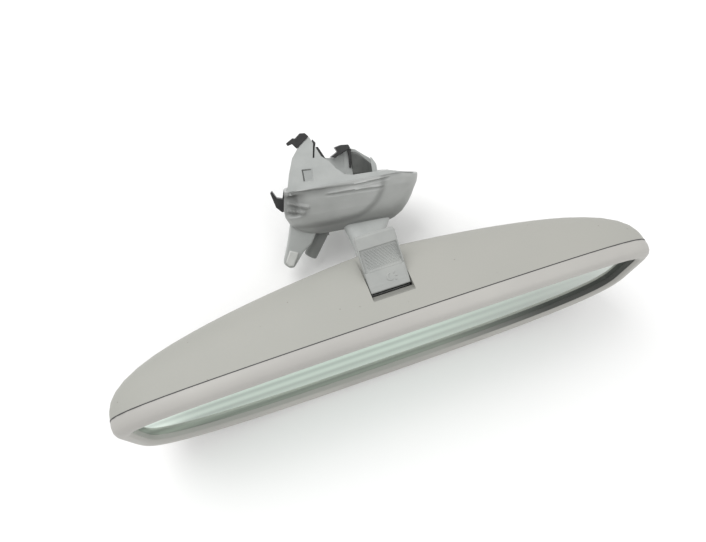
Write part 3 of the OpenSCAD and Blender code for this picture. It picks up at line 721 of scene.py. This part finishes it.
def bracket_legs():
    blade = [
        (-22.4, -16), (-9.2, -23.5), (-13.5, -31), (-19.1, -34.9), (-25.6, -42.5), (-28.4, -42.2),
        (-30.8, -39.4), (-30.6, -37.6), (-27.2, -29.8)
    ]
    plate_piece("bracket_leg_blade", blade, 0.4, 6.9, "bracket_grey", 0.9)
    start, end, radius = Vector((-2.5, -22, -3)), Vector((-15.8, -39.8, -3)), 3.7
    turn = (end - start).to_track_quat("Z", "Y").to_matrix().to_4x4()
    bm = bmesh.new()
    bmesh.ops.create_cone(
        bm, cap_ends=True, segments=64, radius1=radius, radius2=radius,
        depth=(end - start).length, matrix=Matrix.Translation((start + end) / 2) @ turn
    )
    tube = finish_piece(
        "bracket_leg_tube", bm, BRACKET, "bracket", "bracket_grey", material="leg_dark"
    )
    round_edges(tube, 1.0, 4)


def claw_plates():
    """Black plates of painted shade on two of the claws: one in claw A's slot and thin strips on claws A and B."""
    slot_shade = [(-5.6, 14.6), (-4.2, 14.4), (-2.5, 21.6), (-3.8, 23.4)]
    plate_piece("claw_a_slot_shade", slot_shade, 12, 18.4, "spring_black", 0.1)
    shade_strip_a = [
        (-2.9, 19.4), (-1.5, 19.4), (0.4, 15.2), (1.6, 12.4), (0.5, 12.2), (-0.9, 14.8)
    ]
    plate_piece("claw_a_shade_strip", shade_strip_a, 12.5, 15, "spring_black", 0.2)
    shade_strip_b = [
        (16.4, 14.7), (18.3, 15.3), (17.6, 9.5), (16.6, 4.5), (15.7, 4.7), (16.2, 9.5)
    ]
    plate_piece("claw_b_shade_strip", shade_strip_b, -11.2, -9.8, "spring_black", 0.2)


def window_shades():
    """Strips of painted shade along two sides of the frame's square window."""
    left, right, low, high = -12.05, -7.3, 3.9, 9.7
    back, front = 18.4, 20.02
    side = [(left, low), (left + 0.75, low), (left + 0.75, high), (left, high)]
    top = [(left, high - 0.6), (right, high - 0.95), (right, high - 0.35), (left, high)]
    for name, outline in (("window_left_shade", side), ("window_top_shade", top)):
        plate_piece(name, outline, back, front, "bracket_grey", 0.05, "painted_shade_dark")


def bracket_claws():
    soften("claw_frame", 0.35, "bracket_grey")
    for node in ("claw_clip_a", "claw_clip_b", "claw_clip_c"):
        soften(node, 0.3, "spring_black")
    soften("leg_pad", 0.5, "pad_grey")
    claw_plates()
    window_shades()
    hub_painted_shade()


def hub_painted_shade():
    """Painted shade on the deep inner side of the hub's round wall: a thin dark sheet laid on it."""
    middle_x, middle_z, reach = 13.0, 2.4, 13.6
    first_turn, sweep = 18, 66
    low, high, fall = 0.4, 13.3, 13.2
    bm = bmesh.new()
    bmesh.ops.create_grid(bm, x_segments=24, y_segments=8, size=1)
    for v in bm.verts:
        turn = math.radians(first_turn + sweep * (v.co.x + 1) / 2)
        x = middle_x + reach * math.sin(turn)
        top = high - fall * blend(19.0, 32.5, x)
        y = low + (top - low) * (v.co.y + 1) / 2
        v.co = Vector((x, y, middle_z - reach * math.cos(turn)))
    piece = finish_piece("hub_painted_shade", bm, BRACKET, "bracket", "bracket_grey", material="painted_shade_dark")
    skin = piece.modifiers.new("shade sheet thickness", "SOLIDIFY")
    skin.thickness = 0.2 * MM


def bracket_neck():
    """The arm, flaring from its round end at the ball's shank into the bowl's belly."""
    levels, slim_radius, wide_x, wide_z = 24, 5.4, 14.5, 7.0
    from_ball = 17
    arm_end = Vector(BRACKET.inverted() @ BALL)
    way = (Vector((15, -24, 4)) - arm_end).normalized()
    start, pad_middle = arm_end + way * from_ball, Vector((18.5, -22.6, 3.6))
    side = (Vector((1, 0, 0)) - way * way.x).normalized()
    deep = side.cross(way)
    bm = bmesh.new()
    ring = bmesh.ops.create_circle(bm, segments=72, radius=1)["verts"]
    angles = [math.atan2(v.co.y, v.co.x) for v in ring]
    rows = [ring]
    for _ in range(levels):
        rows.append(next_ring(bm, rows[-1]))
    for row, verts in enumerate(rows):
        share = row / levels
        power = 2 / (2 + 1.2 * share)
        for angle, v in zip(angles, verts):
            c, s = math.cos(angle), math.sin(angle)
            slim = slim_radius * (c * side + s * deep)
            wide = Vector((wide_x * signed_power(c, power), 0, wide_z * signed_power(s, power)))
            v.co = start.lerp(pad_middle, share) + slim.lerp(wide, share**1.5)
    for end in (rows[0], rows[-1]):
        members = set(end)
        rim = [e for e in bm.edges if e.verts[0] in members and e.verts[1] in members]
        bmesh.ops.edgeloop_fill(bm, edges=rim)
    bmesh.ops.recalc_face_normals(bm, faces=bm.faces)
    piece = finish_piece("stem_arm_neck", bm, BRACKET, "bracket", "bracket_grey", ("stem_arm",), 45)
    round_edges(piece, 0.5)


# ---------------------------------------------------------------- set
def make_floor():
    bm = bmesh.new()
    bmesh.ops.create_grid(bm, x_segments=2, y_segments=2, size=3)
    floor_z = (HEAD @ Vector((0, 0, FLOOR_Z))).z * MM
    bmesh.ops.translate(bm, verts=bm.verts, vec=(0, 0, floor_z))
    mesh = bpy.data.meshes.new("floor")
    bm.to_mesh(mesh)
    bm.free()
    floor = bpy.data.objects.new("floor", mesh)
    mesh.materials.append(pale_floor())
    bpy.context.scene.collection.objects.link(floor)


def make_light(name, place, target, size, power):
    data = bpy.data.lights.new(name, "AREA")
    data.size = size
    data.energy = power
    light = bpy.data.objects.new(name, data)
    light.location = place
    light.rotation_euler = (Vector(target) - Vector(place)).to_track_quat("-Z", "Y").to_euler()
    bpy.context.scene.collection.objects.link(light)


def make_lights():
    world = bpy.data.worlds.new("studio")
    world.use_nodes = True
    background = world.node_tree.nodes["Background"]
    background.inputs["Color"].default_value = (1, 1, 1, 1)
    background.inputs["Strength"].default_value = 0.78
    bpy.context.scene.world = world
    make_light("key", (-0.35, 0.4, 1.0), (0, -0.05, 0), 0.9, 7.0)
    make_light("fill", (0.5, -0.7, 0.9), (0, -0.05, 0), 0.8, 3)
    bpy.context.scene.view_settings.view_transform = "Standard"


def make_camera():
    """The main view: a wide lens looking down over the lever side of the head."""
    data = bpy.data.cameras.new("camera")
    data.sensor_width = 36
    data.lens = 25.585
    data.clip_start = 0.01
    camera = bpy.data.objects.new("camera", data)
    place = HEAD @ Vector((-42.26, -55.41, 227.4))
    right = Vector((0.944, -0.331, -0.003))
    towards = Vector((-0.140, -0.408, 0.902)).normalized()
    up = towards.cross(right).normalized()
    right = up.cross(towards)
    turn = Matrix((right, up, towards)).transposed()
    camera.matrix_world = Matrix.Translation(place * MM) @ turn.to_4x4()
    bpy.context.scene.collection.objects.link(camera)
    bpy.context.scene.camera = camera


make_camera()
dress_cad_nodes()
soften("rear_shell", 0.3, "shell_grey", flatten=False)
soften("front_bezel", 0.15, "bezel_taupe", flatten=False)
parting_seam()
glass_seat()
slot_lip()
lever_blade()
lever_heel()
bracket_bowl()
bracket_legs()
bracket_claws()
bracket_neck()
make_floor()
make_lights()
